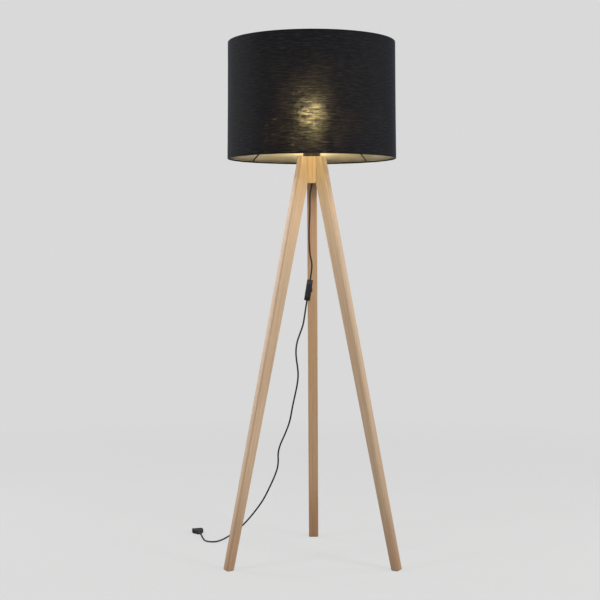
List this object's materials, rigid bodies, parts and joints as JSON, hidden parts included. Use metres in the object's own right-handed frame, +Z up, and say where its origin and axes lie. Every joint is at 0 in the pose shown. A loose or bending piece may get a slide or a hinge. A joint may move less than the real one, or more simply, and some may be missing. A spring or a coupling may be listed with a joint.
{
  "type": "tripod floor lamp",
  "caption": "Tripod floor lamp: tapered wooden legs on a hub, a black fabric drum shade on a wire spider, and a cord with an inline rocker switch.",
  "frame": {"origin": "on the floor, at the middle of the lamp's box without its free cord; the lamp's vertical axis stands 19 mm in front of it", "axes": "+Z up, +Y towards the back leg, +X to the right seen from the front"},
  "size_m": [0.6541, 0.6103, 1.5415],
  "materials": {
    "leg_wood": "clear matt varnish over a light, straight grain",
    "hub_wood": "clear matt varnish over a light, straight grain",
    "pad_felt": "brown pressed felt",
    "zinc_steel": "zinc plated",
    "brass": "bare, lightly tarnished",
    "cord_rubber": "smooth black sheath",
    "cup_metal": "satin black",
    "holder_plastic": "moulded black",
    "holder_ceramic": "unglazed",
    "wire_sleeve": "smooth",
    "shade_fabric": "black plain weave with slubs",
    "shade_lining": "warm gold film, satin",
    "frame_wire": "black powder coat",
    "bulb_glass": "frosted inside",
    "bulb_cap_metal": "rolled thread",
    "bulb_insulator": "black vitrite",
    "filament": "phosphor coating",
    "switch_plastic": "fine moulded texture",
    "plug_plastic": "fine moulded texture",
    "pin_nickel": "nickel plated"
  },
  "bodies": {
    "stand": {"leg_back": "leg_wood", "leg_left": "leg_wood", "leg_right": "leg_wood", "hub": "hub_wood", "bolt_plugs": "leg_wood", "foot_pads": "pad_felt", "leg_bolts": "zinc_steel", "leg_inserts": "brass", "threaded_tube": "zinc_steel", "tube_nuts": "zinc_steel", "tube_washer": "zinc_steel", "cord_relief": "cord_rubber", "cord_inner": "cord_rubber", "cord_upper": "cord_rubber", "cord_lower": "cord_rubber", "holder_cup": "cup_metal", "holder_cap": "holder_plastic", "holder_skirt": "holder_plastic", "holder_insert": "holder_ceramic", "screw_shell": "brass", "centre_contact": "brass", "terminals": "brass", "terminal_screws": "zinc_steel", "lead_wires": "wire_sleeve", "switch_base": "switch_plastic", "switch_cover": "switch_plastic", "rocker_pin": "zinc_steel", "switch_contacts": "brass", "switch_screws": "zinc_steel", "plug_body": "plug_plastic", "plug_boot": "plug_plastic", "plug_pins": "pin_nickel"},
    "shade": {"shade_fabric": "shade_fabric", "shade_lining": "shade_lining", "shade_hem_bottom": "shade_fabric", "shade_hem_top": "shade_fabric", "shade_ring_bottom": "frame_wire", "shade_ring_top": "frame_wire", "spider_arms": "frame_wire", "carrier_ring": "frame_wire"},
    "lock_ring": {"lock_ring": "holder_plastic"},
    "bulb": {"bulb_glass": "bulb_glass", "bulb_cap": "bulb_cap_metal", "bulb_insulator": "bulb_insulator", "bulb_contact": "zinc_steel", "bulb_stem": "bulb_glass", "bulb_filaments": "filament"},
    "rocker": {"switch_rocker": "switch_plastic"}
  },
  "joints": [
    {"name": "shade_turn", "type": "hinge", "parent": "stand", "child": "shade", "pos_m": [0, -0.0192, 1.2521], "axis": [0, 0, 1], "continuous": true},
    {"name": "lock_ring_turn", "type": "hinge", "parent": "stand", "child": "lock_ring", "pos_m": [0, -0.0192, 1.2572], "axis": [0, 0, 1], "continuous": true},
    {"name": "bulb_turn", "type": "hinge", "parent": "stand", "child": "bulb", "pos_m": [0, -0.0192, 1.27], "axis": [0, 0, 1], "continuous": true},
    {"name": "switch_rocker_tilt", "type": "hinge", "parent": "stand", "child": "rocker", "pos_m": [-0.00606, -0.01266, 0.80021], "axis": [0, 0.9988, 0.0483], "range_deg": [-16, 0]}
  ]
}
